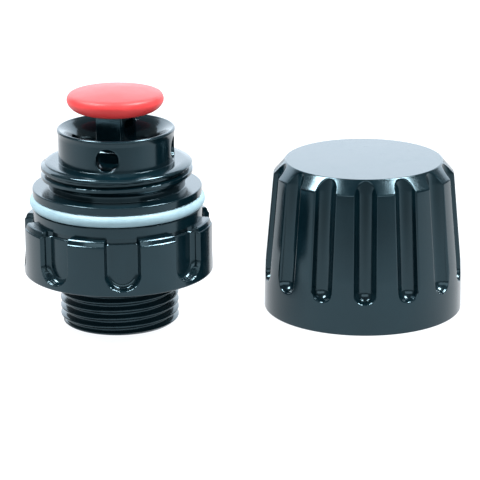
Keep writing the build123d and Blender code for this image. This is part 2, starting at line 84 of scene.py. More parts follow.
# collar with its grip recesses
COLLAR_R = high("base_body")[0]
COLLAR_Z = 14.7
COLLAR_TOP_Z = high("base_body")[2]
COLLAR_WALL_R = 22.0  # rows outside this radius can be cut by a recess
SOCKET_R, SOCKET_Z = 21.05, 19.2
CHAMBER_R, CHAMBER_Z = 18.7, 17.0
RECESS_COUNT = 8
RECESS_HALF_W = 5.0
RECESS_FOOT_Z = 16.2
RECESS_DEPTH = 2.8
RECESS_FILLET = 1.5
RECESS_EDGE = 0.5
RECESS_TURN = math.radians(5.3)
LEDGE_Z = 28.75
SEAM_GAP = 0.8

# bonnet, from the band up to the cup
BAND_R = high("bonnet")[0]
SEAL_LOW_Z, SEAL_HIGH_Z = 33.3, 36.85
SEAL_GROOVE_R = 20.95
FLANGE_TOP_Z = 39.05
NECK_R, NECK_TOP_Z = 19.0, 41.0
CAP_PITCH = 2.55
CAP_THREAD_R = 21.1
DECK_Z = 46.4
CUP_R = 16.1
BOWL_FLOOR_Z = 46.5
BOWL_FOOT_R, BOWL_FOOT_Z = 10.7, 47.6
LIP_X = 15.82  # centre of the lip's rounding
LIP_R = 0.53
LIP_TOP_Z = high("bonnet")[2]
BOWL_W = 5.93
BOWL_H = LIP_TOP_Z - BOWL_FOOT_Z - 0.02
OPENING_R = 5.6  # the bowl's rows at the stem's opening, before they are made square
OPENING_PLAY = 0.15
HOLE_COUNT = 4
HOLE_R = 3.15
HOLE_Z = 50.0
HOLE_EDGE = 0.35
HOLE_TURN = math.radians(-6.3)

# button and its square stem
STEM_SIDE = 8.4
STEM_TURN = math.radians(18.2 - 45.0)
BUTTON_R = 13.4
BUTTON_TOP_Z = high("vent_button")[2]
BUTTON_FOOT_Z = low("vent_button")[2]
BUTTON_SOCKET_R, BUTTON_SOCKET_Z = 5.6, 62.8
DOME_R = 63.6
PORT_R, PORT_STRETCH, PORT_Z = 1.15, 1.35, 57.1

# cap
CAP_CENTRE = (low("cap") + high("cap")) / 2
CAP_H = high("cap")[2]
CAP_RIM_R = 28.15
CAP_WALL_R = 22.0  # flutes keep their width from this radius outwards
CAP_MEAN_R = 26.5
SHOULDER_R, SHOULDER_Z = 25.55, 39.4
WAIST_R, WAIST_Z = 27.85, 13.5
SKIRT_BORE_R = 24.25
NUT_R, NUT_TOP_Z = 20.3, 16.2
CAP_BORE_R, CAP_ROOF_Z = 16.8, 40.2
FLUTE_COUNT = 14
FLUTE_R = 3.1
FLUTE_HEAD_R = 25.8
FLUTE_FOOT_R, FLUTE_FOOT_Z = 28.1, 12.0
FLUTE_LOWEST_Z = 7.0  # below every flute's rounded end
FLUTE_EDGE = 0.45
FLUTE_SOFTNESS = 0.12
FLUTE_TURN = math.radians(-1.7)


# ---------------------------------------------------------------- mesh helpers


def outline(corners, hold=0.12, steps=5):
    """Dense outline from corners of (radius, height, rounding, spans to the next corner).

    The last two are optional. Each corner with a rounding gets a short curve with a holding row on either
    side, so that flats stay flat under smooth shading.
    """
    places = [np.array(corner[:2], float) for corner in corners]

    def reach_at(i):
        if i in (0, len(corners) - 1) or len(corners[i]) < 3:
            return 0.0
        spans = [np.linalg.norm(places[i + step] - places[i]) for step in (-1, 1)]
        return min(corners[i][2], 0.45 * min(spans))

    def toward(i, j):
        return (places[j] - places[i]) / np.linalg.norm(places[j] - places[i])

    pts = []
    for i, corner in enumerate(corners):
        reach = reach_at(i)
        if reach:
            start = places[i] + reach * toward(i, i - 1)
            leave = places[i] + reach * toward(i, i + 1)
            pts.append(start + hold * toward(i, i - 1))
            for t in np.linspace(0, 1, steps + 1):
                pts.append((1 - t) ** 2 * start + 2 * t * (1 - t) * places[i] + t**2 * leave)
            pts.append(leave + hold * toward(i, i + 1))
        else:
            pts.append(places[i])
        if len(corner) > 3:
            begin = pts[-1]
            end = places[i + 1] + (reach_at(i + 1) + hold * bool(reach_at(i + 1))) * toward(i + 1, i)
            pts += [begin + (end - begin) * k / corner[3] for k in range(1, corner[3])]
    return np.array(pts)


def link_new(name, data):
    """New object in the scene."""
    obj = bpy.data.objects.new(name, data)
    bpy.context.scene.collection.objects.link(obj)
    return obj


def add_mesh(name, verts_mm, faces):
    """New smooth-shaded object from vertices in millimetres, with doubled points at poles merged."""
    mesh = bpy.data.meshes.new(name)
    mesh.from_pydata((np.asarray(verts_mm) * MM).tolist(), [], faces)
    bm = bmesh.new()
    bm.from_mesh(mesh)
    bmesh.ops.remove_doubles(bm, verts=bm.verts, dist=1e-6)
    bmesh.ops.recalc_face_normals(bm, faces=bm.faces)
    bm.to_mesh(mesh)
    bm.free()
    mesh.polygons.foreach_set("use_smooth", [True] * len(mesh.polygons))
    return link_new(name, mesh)


def ring_faces(rows, cols, wrap=False):
    """Quads of a grid that closes around; wrap also joins its last row to its first."""
    faces = []
    for i in range(rows if wrap else rows - 1):
        a = i * cols
        b = ((i + 1) % rows) * cols
        for j in range(cols):
            k = (j + 1) % cols
            faces.append((a + j, a + k, b + k, b + j))
    return faces


def grids(points, turns):
    """Radius and height at every place of a grid of angles, from the outline's point for each row."""
    cols = turns.shape[1]
    return np.repeat(points[:, :1], cols, axis=1), np.repeat(points[:, 1:2], cols, axis=1)


def skin(name, radii, heights, turns, centre=(0.0, 0.0), wrap=False):
    """Surface around an axis on a grid: one row for each outline point, one column for each angle."""
    x = centre[0] + radii * np.cos(turns)
    y = centre[1] + radii * np.sin(turns)
    verts = np.stack([x, y, heights], axis=-1).reshape(-1, 3)
    return add_mesh(name, verts, ring_faces(*x.shape, wrap))


def lathe(name, points, columns, warp=None, wrap=False):
    """Turned piece from an outline; warp(turns, radii, heights) may cut a thread."""
    around = np.arange(columns) * 2 * math.pi / columns
    turns = np.repeat(around[None, :], len(points), axis=0)
    radii, heights = grids(points, turns)
    if warp:
        radii = warp(turns, radii, heights)
    return skin(name, radii, heights, turns, wrap=wrap)


def groove_depth(turns, heights, pitch, groove_z, crest_w, root_w, depth):
    """Depth of a right-hand thread groove whose centre passes +X at groove_z."""
    along = (heights - groove_z) / pitch - turns / (2 * math.pi)
    away = np.abs(along - np.round(along)) * pitch
    flank = (crest_w / 2 - away) / (crest_w / 2 - root_w / 2)
    flank = np.clip(flank, 0, 1)
    return depth * (0.75 * flank + 0.25 * flank * flank * (3 - 2 * flank))


def fade(values, start, end):
    """0 at start, 1 at end, with a soft turn at both."""
    t = np.clip((values - start) / (end - start), 0, 1)
    return t * t * (3 - 2 * t)


def soft_min(a, b, width):
    """The lower of two surfaces with a rounded edge where they cross."""
    h = np.clip(width - np.abs(a - b), 0, None) / width
    return np.minimum(a, b) - h * h * width / 4


def cut(obj, cutter):
    """Exact boolean difference, applied, with the cutter removed."""
    mod = obj.modifiers.new("cut", "BOOLEAN")
    mod.operation = "DIFFERENCE"
    mod.solver = "EXACT"
    mod.object = cutter
    graph = bpy.context.evaluated_depsgraph_get()
    graph.update()
    mesh = bpy.data.meshes.new_from_object(obj.evaluated_get(graph))
    obj.modifiers.clear()
    obj.data = mesh
    bpy.data.objects.remove(cutter)


def sharpen(obj, degrees):
    """Smooth shading that breaks at edges sharper than the given angle."""
    bm = bmesh.new()
    bm.from_mesh(obj.data)
    for face in bm.faces:
        face.smooth = True
    for edge in bm.edges:
        if len(edge.link_faces) == 2:
            edge.smooth = edge.calc_face_angle(0) < math.radians(degrees)
    bm.to_mesh(obj.data)
    bm.free()


# ---------------------------------------------------------------- materials

NOISE_LOW, NOISE_HIGH = 0.35, 0.65  # most of a noise texture's values lie between these
FINER = 0.4  # height of each bump layer as a share of the coarser one before it


def new_material(name, color, roughness, **sockets):
    """Principled material; values that are the same all over are set on the shader's own sockets."""
    mat = bpy.data.materials.new(name)
    mat.use_nodes = True
    shader = mat.node_tree.nodes["Principled BSDF"]
    shader.inputs["Base Color"].default_value = (*color, 1)
    shader.inputs["Roughness"].default_value = roughness
    for socket, value in sockets.items():
        shader.inputs[socket.replace("_", " ")].default_value = value
    return mat, mat.node_tree.nodes, mat.node_tree.links, shader


def noise(nodes, links, scale, detail=3.0, stretch=(1, 1, 1)):
    """Noise in object space, with scale in features per metre."""
    coords = nodes.new("ShaderNodeTexCoord")
    mapping = nodes.new("ShaderNodeMapping")
    mapping.inputs["Scale"].default_value = stretch
    tex = nodes.new("ShaderNodeTexNoise")
    tex.inputs["Scale"].default_value = scale
    tex.inputs["Detail"].default_value = detail
    links.new(coords.outputs["Object"], mapping.inputs["Vector"])
    links.new(mapping.outputs["Vector"], tex.inputs["Vector"])
    return tex.outputs["Fac"]


def ranged(nodes, links, value, low_out, high_out, low_in=NOISE_LOW, high_in=NOISE_HIGH):
    """Maps a value to a range."""
    node = nodes.new("ShaderNodeMapRange")
    node.inputs["From Min"].default_value = low_in
    node.inputs["From Max"].default_value = high_in
    node.inputs["To Min"].default_value = low_out
    node.inputs["To Max"].default_value = high_out
    links.new(value, node.inputs["Value"])
    return node.outputs["Result"]


def tint(nodes, links, shader, value, dark, light):
    """Base colour between two ends, by a noise value."""
    ramp = nodes.new("ShaderNodeValToRGB")
    ramp.color_ramp.elements[0].position = NOISE_LOW
    ramp.color_ramp.elements[0].color = (*dark, 1)
    ramp.color_ramp.elements[1].position = NOISE_HIGH
    ramp.color_ramp.elements[1].color = (*light, 1)
    links.new(value, ramp.inputs["Fac"])
    links.new(ramp.outputs["Color"], shader.inputs["Base Color"])


def roughen(nodes, links, shader, value, glossy, dull):
    """Roughness between two ends, by a noise value."""
    links.new(ranged(nodes, links, value, glossy, dull), shader.inputs["Roughness"])


def bump(nodes, links, shader, heights, distance):
    """Bump from one or more height values, the first the coarsest."""
    normal = None
    for value in heights:
        node = nodes.new("ShaderNodeBump")
        node.inputs["Distance"].default_value = distance
        node.inputs["Strength"].default_value = 1.0
        links.new(value, node.inputs["Height"])
        if normal is not None:
            links.new(normal, node.inputs["Normal"])
        normal = node.outputs["Normal"]
        distance *= FINER
    links.new(normal, shader.inputs["Normal"])


def black_plastic():
    """Glossy blue-black moulded plastic: faint flow marks, orange peel and fine handling scratches."""
    mat, nodes, links, shader = new_material("black_plastic", (0.001, 0.006, 0.009), 0.17, IOR=1.56)
    shader.inputs["Specular Tint"].default_value = (0.56, 0.86, 1.0, 1)
    cloud = noise(nodes, links, 90, 4)
    tint(nodes, links, shader, cloud, (0.0005, 0.0045, 0.007), (0.0013, 0.0075, 0.011))
    scratch = noise(nodes, links, 900, 6, (1, 1, 0.12))
    rough = nodes.new("ShaderNodeMath")
    rough.operation = "ADD"
    links.new(ranged(nodes, links, cloud, 0.14, 0.18), rough.inputs[0])
    links.new(ranged(nodes, links, scratch, 0.0, 0.05, 0.5, 0.75), rough.inputs[1])
    links.new(rough.outputs[0], shader.inputs["Roughness"])
    bump(nodes, links, shader, [noise(nodes, links, 420, 2), noise(nodes, links, 2400, 2)], 0.0000022)
    return mat


def red_plastic():
    """Satin red plastic with a little depth, a fine moulded grain and a paler rubbed tone."""
    mat, nodes, links, shader = new_material("red_plastic", (0.55, 0.038, 0.040), 0.44, IOR=1.36)
    cloud = noise(nodes, links, 160, 4)
    tint(nodes, links, shader, cloud, (0.52, 0.034, 0.036), (0.58, 0.043, 0.045))
    roughen(nodes, links, shader, cloud, 0.40, 0.48)
    bump(nodes, links, shader, [noise(nodes, links, 900, 2), noise(nodes, links, 3500, 2)], 0.00002)
    return mat


def pale_rubber():
    """Pale blue-grey rubber of the cap's seal, with a dusty bloom."""
    mat, nodes, links, shader = new_material("seal_rubber", (0.235, 0.36, 0.415), 0.47, IOR=1.4)
    bloom = noise(nodes, links, 350, 5)
    tint(nodes, links, shader, bloom, (0.22, 0.34, 0.395), (0.25, 0.38, 0.435))
    roughen(nodes, links, shader, bloom, 0.42, 0.54)
    bump(nodes, links, shader, [noise(nodes, links, 1400, 3)], 0.00002)
    return mat


def dark_rubber():
    """Dark rubber of the inner seals."""
    mat, nodes, links, shader = new_material("dark_rubber", (0.03, 0.03, 0.032), 0.6)
    grain = noise(nodes, links, 1200, 4)
    tint(nodes, links, shader, grain, (0.022, 0.022, 0.024), (0.045, 0.045, 0.048))
    roughen(nodes, links, shader, grain, 0.5, 0.7)
    bump(nodes, links, shader, [grain], 0.00002)
    return mat


def white_plastic():
    """Natural moulded plastic of the float and lever."""
    mat, nodes, links, shader = new_material("natural_plastic", (0.8, 0.79, 0.73), 0.45)
    cloud = noise(nodes, links, 180, 4)
    tint(nodes, links, shader, cloud, (0.72, 0.71, 0.65), (0.82, 0.81, 0.77))
    roughen(nodes, links, shader, cloud, 0.38, 0.52)
    bump(nodes, links, shader, [noise(nodes, links, 1500, 3)], 0.00002)
    return mat


def steel():
    """Stainless steel with drawn lines."""
    mat, nodes, links, shader = new_material("stainless", (0.62, 0.61, 0.6), 0.3, Metallic=1.0)
    lines = noise(nodes, links, 2500, 5, (1, 0.06, 1))
    tint(nodes, links, shader, lines, (0.55, 0.54, 0.53), (0.68, 0.67, 0.66))
    roughen(nodes, links, shader, lines, 0.22, 0.4)
    bump(nodes, links, shader, [lines], 0.00001)
    return mat


def brass():
    """Turned brass of the nozzle."""
    mat, nodes, links, shader = new_material("turned_brass", (0.75, 0.55, 0.25), 0.3, Metallic=1.0)
    rings = noise(nodes, links, 3000, 3, (0.1, 0.1, 1))
    tint(nodes, links, shader, rings, (0.68, 0.48, 0.2), (0.8, 0.61, 0.3))
    roughen(nodes, links, shader, rings, 0.22, 0.36)
    bump(nodes, links, shader, [rings], 0.00001)
    return mat


MATERIALS = {
    "black_plastic": black_plastic(),
    "red_plastic": red_plastic(),
    "pale_rubber": pale_rubber(),
    "black_rubber": dark_rubber(),
    "white_plastic": white_plastic(),
    "stainless": steel(),
    "brass": brass(),
}


def place(obj, node, body, slot):
    """The piece stands for a CAD node, rides on its body and takes its finish from the slot."""
    obj.data.materials.clear()
    obj.data.materials.append(MATERIALS[slot])
    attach(obj, body)
    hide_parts(node)


# ---------------------------------------------------------------- base body


def period_turns(count, xs, edge, radii, first_turn):
    """Column angles for a surface with count equal features around it.

    xs are the columns of one period as sideways distances; those within the edge keep their distance
    from the feature's centre at every radius, and the rest share what is left of the period.
    """
    half = xs[-1]
    fixed = np.arcsin(np.clip(np.minimum(np.abs(xs), edge)[None, :] / radii[:, None], -1, 1))
    spread = (np.pi / count - np.arcsin(edge / radii))[:, None]
    rest = np.clip((np.abs(xs) - edge) / (half - edge), 0, None)[None, :] * spread
    one = np.sign(xs)[None, :] * (fixed + rest)
    one = one[:, :-1]  # the last column is the next period's first
    starts = first_turn + np.arange(count) * 2 * np.pi / count
    return (starts[None, :, None] + one[:, None, :]).reshape(len(radii), -1)


def mirrored(xs):
    """Symmetric list of columns from the positive half, starting at 0."""
    xs = np.array(xs)
    return np.concatenate([-xs[:0:-1], xs])


def sideways(turns, count, first_turn, radius):
    """Distance to the side of the nearest feature's centre line."""
    step = 2 * np.pi / count
    off = (turns - first_turn + step / 2) % step - step / 2
    return radius * np.sin(off)


def make_inlet():
    """Threaded inlet stem, with its thread run out under the collar."""
    points = outline(
        [
            (STEM_BORE_R, 16.0),
            (STEM_BORE_R, MOUTH_DEPTH, 0.2),
            (MOUTH_R, MOUTH_DEPTH, 0.2),
            (MOUTH_R, 0, 0.25),
            (STEM_R - 0.9, 0, 0.25),
            (STEM_R, 0.9, 0.2, 120),
            (STEM_R, COLLAR_Z, 0.0),
            (STEM_R, COLLAR_Z + 0.6),
            (STEM_R - 1, 16.0),
        ]
    )

    def thread(turns, radii, heights):
        depth = groove_depth(turns, heights, STEM_PITCH, groove_z=-2.5, crest_w=2.0, root_w=0.4, depth=1.4)
        depth = depth * (1 - fade(heights, RUNOUT_START_Z, RUNOUT_END_Z))
        on_outside = (radii > STEM_MIDDLE_R) & (heights < COLLAR_Z)
        return np.where(on_outside, np.minimum(radii, STEM_R - depth), radii)

    obj = lathe("vent_inlet", points, columns=256, warp=thread, wrap=True)
    place(obj, "base_body", "vent", "black_plastic")


def recess_cut(side, heights):
    """Radius of the grip recesses: an arch, open at the top, with a filleted floor.

    Above the ledge the floor steps back by the seam's gap. Beside the recess the surface rises steeply past
    the collar's wall, so that only the recess itself cuts it.
    """
    below = np.clip(RECESS_FOOT_Z + RECESS_HALF_W - heights, 0, None)
    inside = RECESS_HALF_W - np.hypot(side, below)
    into_fillet = np.clip(inside, 0, RECESS_FILLET)
    wall = RECESS_DEPTH - RECESS_FILLET + np.sqrt(RECESS_FILLET**2 - (RECESS_FILLET - into_fillet) ** 2)
    gap = SEAM_GAP * (heights > LEDGE_Z)
    return COLLAR_R - np.where(inside > 0, wall + gap, 8 * inside)


def make_collar():
    """Collar with grip recesses around it."""
    points = outline(
        [
            (STEM_BORE_R, CHAMBER_Z),
            (STEM_BORE_R, 15.9),
            (STEM_R - 1, COLLAR_Z + 0.2),
            (STEM_R - 0.5, COLLAR_Z),
            (COLLAR_R, COLLAR_Z, 0.55),
            (COLLAR_R, COLLAR_Z + 1.3, 0.0, 46),
            (COLLAR_R, RECESS_FOOT_Z + 6.2, 0.0, 10),
            (COLLAR_R, LEDGE_Z - 0.4),
            (COLLAR_R - 0.01, LEDGE_Z - 0.3),
            (COLLAR_R - 0.06, LEDGE_Z - 0.2),
            (COLLAR_R - 0.26, LEDGE_Z),
            (COLLAR_R - 0.33, LEDGE_Z + 0.07),
            (COLLAR_R - 0.36, LEDGE_Z + 0.16),
            (COLLAR_R - 0.64, COLLAR_TOP_Z - 0.5),
            (COLLAR_R - 0.68, COLLAR_TOP_Z - 0.38),
            (COLLAR_R - 0.76, COLLAR_TOP_Z - 0.28),
            (COLLAR_R - 1.0, COLLAR_TOP_Z - 0.06),
            (COLLAR_R - 1.1, COLLAR_TOP_Z - 0.01),
            (COLLAR_R - 1.2, COLLAR_TOP_Z),
            (SOCKET_R, COLLAR_TOP_Z, 0.1),
            (SOCKET_R, SOCKET_Z),
            (CHAMBER_R, SOCKET_Z),
            (CHAMBER_R, CHAMBER_Z),
        ]
    )

    # columns lie close together along the recess's edges
    edge_x = 6.1
    half_period = math.pi * COLLAR_R / RECESS_COUNT
    floor_xs = np.arange(0, 4.4, 0.22)
    edge_xs = np.arange(4.4, 5.6, 0.08)
    wall_xs = np.linspace(6.8, half_period, 4)
    xs = mirrored(np.concatenate([floor_xs, edge_xs, [5.7, edge_x], wall_xs]))
    first_turn = FRONT + RECESS_TURN
    turns = period_turns(RECESS_COUNT, xs, edge_x, np.maximum(points[:, 0], COLLAR_WALL_R), first_turn)
    grid_r, grid_z = grids(points, turns)
    side = sideways(turns, RECESS_COUNT, first_turn, COLLAR_R)
    on_wall = (grid_r > COLLAR_WALL_R) & (grid_z > COLLAR_Z + 0.8)
    grid_r = np.where(on_wall, soft_min(grid_r, recess_cut(side, grid_z), RECESS_EDGE), grid_r)
    obj = skin("vent_collar", grid_r, grid_z, turns, wrap=True)
    place(obj, "base_body", "vent", "black_plastic")


# ---------------------------------------------------------------- bonnet


def radial_rods(name, radius, turns, start, end, z, stretch=0.0):
    """Cylinders pointing out from the axis, for cutting; stretch draws them into obrounds sideways."""
    bm = bmesh.new()
    for turn in turns:
        rod = bmesh.ops.create_cone(
            bm, cap_ends=True, segments=64, radius1=radius * MM, radius2=radius * MM, depth=(end - start) * MM
        )["verts"]
        for v in rod:
            v.co.y += math.copysign(stretch, v.co.y) * MM
        spot = (
            Matrix.Rotation(turn, 4, "Z")
            @ Matrix.Translation(((start + end) / 2 * MM, 0, z * MM))
            @ Matrix.Rotation(math.radians(90), 4, "Y")
        )
        bmesh.ops.transform(bm, matrix=spot, verts=rod)
    bmesh.ops.recalc_face_normals(bm, faces=bm.faces)
    mesh = bpy.data.meshes.new(name)
    bm.to_mesh(mesh)
    bm.free()
    mesh.polygons.foreach_set("use_smooth", [True] * len(mesh.polygons))
    obj = link_new(name, mesh)
    bpy.context.view_layer.update()
    return obj


def make_bonnet():
    """Band, seal groove, flange, neck, cap thread, and the cup with its bowl and four holes."""
    rise = np.radians(np.linspace(4, 78, 16))
    lip = np.radians(np.linspace(100, -40, 14))
    bowl_wall = [BOWL_FOOT_R + BOWL_W * (1 - np.cos(rise)), BOWL_FOOT_Z + BOWL_H * np.sin(rise)]
    lip_curve = [LIP_X + LIP_R * np.cos(lip), LIP_TOP_Z - LIP_R + LIP_R * np.sin(lip)]
    outside_and_inside = [
        (CUP_R + 0.08, LIP_TOP_Z - 1.55),
        (CUP_R, LIP_TOP_Z - 1.8, 0.0, 46),
        (CUP_R, DECK_Z, 0.12),
        (19.2, DECK_Z, 0.9),
        (CAP_THREAD_R, 45.85, 0.7, 34),
        (CAP_THREAD_R, 42.0, 0.15),
        (NECK_R, NECK_TOP_Z, 0.3),
        (NECK_R, FLANGE_TOP_Z, 0.25),
        (BAND_R, FLANGE_TOP_Z, 0.35),
        (BAND_R, SEAL_HIGH_Z, 0.2),
        (SEAL_GROOVE_R, SEAL_HIGH_Z, 0.1),
        (SEAL_GROOVE_R, SEAL_LOW_Z, 0.1),
        (BAND_R, SEAL_LOW_Z, 0.25),
        (BAND_R, COLLAR_TOP_Z, 0.1),
        (21.0, COLLAR_TOP_Z, 0.1),
        (21.0, 21.2),
        (18.6, 21.2),
        (18.6, 34.2),
        (16.8, 36.2),
        (16.8, 43.0),
        (3.0, 43.0),
        (3.0, 44.0),
        (5.0, 44.0),
    ]
    points = np.concatenate(
        [
            outline([(OPENING_R, BOWL_FLOOR_Z), (10.4, BOWL_FLOOR_Z, 0.6), (BOWL_FOOT_R, BOWL_FOOT_Z)]),
            np.stack(bowl_wall, axis=-1),
            np.stack(lip_curve, axis=-1),
            outline(outside_and_inside),
        ]
    )
    near_hole = 4.0
    half_period = math.pi * CUP_R / HOLE_COUNT
    xs = mirrored(np.concatenate([np.arange(0, near_hole, 0.2), np.linspace(near_hole, half_period, 20)]))
    first_turn = FRONT + HOLE_TURN
    turns = period_turns(HOLE_COUNT, xs, near_hole, np.full(len(points), CUP_R), first_turn)
    grid_r, grid_z = grids(points, turns)

    # thread for the cap, on the rows between neck and deck
    depth = groove_depth(turns, grid_z, CAP_PITCH, groove_z=42.2375, crest_w=1.7, root_w=0.6, depth=1.3)
    on_wall = (grid_r > NECK_R + 0.5) & (grid_r < CAP_THREAD_R + 0.1)
    on_thread = on_wall & (grid_z > NECK_TOP_Z + 0.2) & (grid_z < DECK_Z - 0.1)
    grid_r = np.where(on_thread, np.minimum(grid_r, CAP_THREAD_R - depth), grid_r)

    # square opening that the stem slides into, made of the innermost rows but for the shaft's bore
    facing = (turns - STEM_TURN + math.pi / 4) % (math.pi / 2) - math.pi / 4
    in_opening = (grid_r > 4.5) & (grid_r < OPENING_R + 0.1)
    grid_r = np.where(in_opening, (STEM_SIDE / 2 + OPENING_PLAY) / np.cos(facing), grid_r)

    # rounded edges where the drain holes come through the cup
    away = np.hypot(sideways(turns, HOLE_COUNT, first_turn, CUP_R), grid_z - HOLE_Z)
    over = np.clip(HOLE_R + HOLE_EDGE - away, 0, HOLE_EDGE)
    rounding = HOLE_EDGE - np.sqrt(HOLE_EDGE**2 - over**2)
    on_cup = (np.abs(grid_r - CUP_R) < 0.05) & (grid_z > DECK_Z + 0.1)
    grid_r = np.where(on_cup, grid_r - rounding, grid_r)

    obj = skin("vent_bonnet", grid_r, grid_z, turns, wrap=True)
    holes = [first_turn + k * 2 * math.pi / HOLE_COUNT for k in range(HOLE_COUNT)]
    cut(obj, radial_rods("hole_cutter", HOLE_R, holes, start=10.4, end=18.0, z=HOLE_Z))
    sharpen(obj, degrees=50)
    place(obj, "bonnet", "vent", "black_plastic")


def square_outline(side, rounding, turn, steps=4):
    """Rounded square, as x and y points in order."""
    h = side / 2 - rounding
    pts = []
    for k in range(4):
        middle = turn + k * math.pi / 2
        axis_x = np.array([math.cos(middle), math.sin(middle)])
        axis_y = np.array([-math.sin(middle), math.cos(middle)])
        corner = h * (axis_x + axis_y)
        for s in range(steps + 1):
            a = middle + s / steps * math.pi / 2
            pts.append(corner + rounding * np.array([math.cos(a), math.sin(a)]))
    return np.array(pts)


def prism(name, sections):
    """Closed solid through stacked outlines; each section is (points, height)."""
    m = len(sections[0][0])
    verts = [(x, y, z) for pts, z in sections for x, y in pts]
    foot = tuple(range(m))[::-1]
    head = tuple(range((len(sections) - 1) * m, len(sections) * m))
    return add_mesh(name, verts, [foot, *ring_faces(len(sections), m), head])


def make_guide():
    """Square sleeve in the bowl's floor that guides the button's stem."""
    top_z, bevel_z = 49.5, 49.3
    outer = square_outline(STEM_SIDE + 2.36, 0.9, STEM_TURN)
    outer_top = square_outline(STEM_SIDE + 1.96, 0.7, STEM_TURN)
    inner_top = square_outline(STEM_SIDE + 0.56, 0.25, STEM_TURN)
    inner = square_outline(STEM_SIDE + 0.16, 0.2, STEM_TURN)
    rings = [
        (outer, 46.2),
        (outer, 49.1),
        (outer, bevel_z),
        (outer_top, top_z),
        (inner_top, top_z),
        (inner, bevel_z),
        (inner, 44.0),
    ]
    verts = [(x, y, z) for pts, z in rings for x, y in pts]
    obj = add_mesh("stem_guide", verts, ring_faces(len(rings), len(outer), wrap=True))
    sharpen(obj, degrees=40)
    obj.data.materials.append(MATERIALS["black_plastic"])
    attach(obj, "vent")


# ---------------------------------------------------------------- button


def make_button():
    """Mushroom button: shallow dome, rolled rim and a hollowed underside."""
    dome = [(r, BUTTON_TOP_Z - DOME_R + math.sqrt(DOME_R**2 - r * r)) for r in np.linspace(0, 12.3, 14)]
    rim = [(12.75, 65.07), (13.05, 64.75), (13.24, 64.33), (13.36, 63.9), (BUTTON_R, 63.5), (13.33, 63.05)]
    under = [(13.1, 62.5), (12.75, 61.95), (12.2, 61.38), (11.4, 60.86), (10.4, 60.45), (9.0, 60.1)]
    foot = [(7.5, BUTTON_FOOT_Z), (BUTTON_SOCKET_R + 0.1, BUTTON_FOOT_Z)]
    socket = [(BUTTON_SOCKET_R, 60.0), (BUTTON_SOCKET_R, BUTTON_SOCKET_Z), (0, BUTTON_SOCKET_Z)]
    points = np.array(dome + rim + under + foot + socket)
    obj = lathe("button_disc", points, columns=160)
    sharpen(obj, degrees=40)
    place(obj, "vent_button", "button", "red_plastic")


def make_stem():
    """Square stem with softened corners and an obround breathing port through one pair of faces."""
    side = square_outline(STEM_SIDE, 0.5, STEM_TURN, 5)
    obj = prism("button_shaft", [(side, 46.6), (side, 58.0), (side, BUTTON_SOCKET_Z - 0.1)])
    cut(obj, radial_rods("port_cutter", PORT_R, [STEM_TURN], start=-8, end=8, z=PORT_Z, stretch=PORT_STRETCH))
    sharpen(obj, degrees=40)
    place(obj, "button_stem", "button", "black_plastic")


# ---------------------------------------------------------------- seal ring


def make_seal():
    """Round-section rubber ring seated in the groove."""
    bottom, top = low("cap_seal_ring"), high("cap_seal_ring")
    section_r = (top[2] - bottom[2]) / 2
    mean_r = top[0] - section_r
    middle_z = (top[2] + bottom[2]) / 2
    a = np.linspace(0, 2 * math.pi, 40, endpoint=False)
    points = np.stack([mean_r + section_r * np.cos(a), middle_z + section_r * np.sin(a)], axis=-1)
    obj = lathe("seal_ring", points, columns=240, wrap=True)
    place(obj, "cap_seal_ring", "vent", "pale_rubber")


# ---------------------------------------------------------------- cap


def flute_cut(side, heights):
    """Radius of the flutes' floor and walls, with rounded edges and a ball-shaped lower end.

    Beside a flute the radius is far outside the cap, so that nothing is cut there.
    """
    line = WAIST_R + (SHOULDER_R - WAIST_R) * (heights - WAIST_Z) / (SHOULDER_Z - WAIST_Z)
    flute_h = SHOULDER_Z - FLUTE_FOOT_Z
    axis = FLUTE_FOOT_R + (FLUTE_HEAD_R - FLUTE_FOOT_R) * (heights - FLUTE_FOOT_Z) / flute_h
    axis = np.where(heights < FLUTE_FOOT_Z, FLUTE_FOOT_R, axis)
    sunk = line - axis
    away = np.hypot(side, np.clip(FLUTE_FOOT_Z - heights, 0, None))
    edge_at = np.sqrt((FLUTE_R + FLUTE_EDGE) ** 2 - (FLUTE_EDGE - sunk) ** 2)
    touch = edge_at * FLUTE_R / (FLUTE_R + FLUTE_EDGE)
    bowl = sunk + np.sqrt(np.clip(FLUTE_R**2 - away**2, 0, None))
    edge = FLUTE_EDGE - np.sqrt(np.clip(FLUTE_EDGE**2 - (away - edge_at) ** 2, 0, None))
    depth = np.where(away < touch, bowl, edge)
    return np.where(away < edge_at, line - depth, 99.0)


